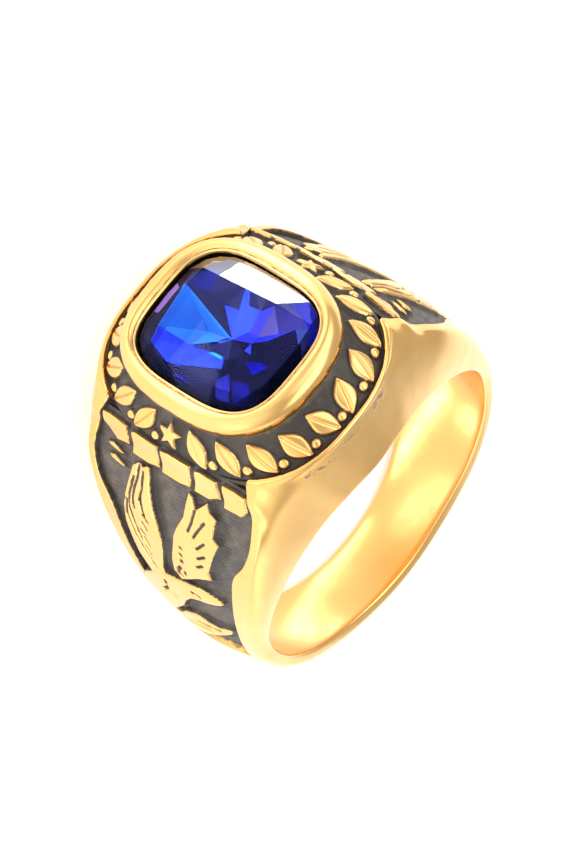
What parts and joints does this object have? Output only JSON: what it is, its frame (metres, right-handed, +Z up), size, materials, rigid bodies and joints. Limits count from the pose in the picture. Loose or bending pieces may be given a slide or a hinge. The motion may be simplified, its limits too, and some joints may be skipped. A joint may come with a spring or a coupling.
{
  "type": "class ring",
  "caption": "Gold-tone class ring with a cushion-cut blue stone, a garland round the bezel and eagle relief on both shoulders, lying on its side.",
  "frame": {"origin": "centre of the finger hole, on its axis", "axes": "+Z up from the surface that the ring lies on, -Y towards the side of the stone, +X towards one decorated shoulder; the finger hole's axis leans from +Z towards +Y by 17.5 degrees, the angle at which the ring lies"},
  "size_m": [0.023, 0.0299, 0.0179],
  "materials": {
    "gold_plate": "polished",
    "blue_stone": "gloss"
  },
  "bodies": {
    "root": {"ring_body": "gold_plate", "stone": "blue_stone"}
  },
  "joints": []
}
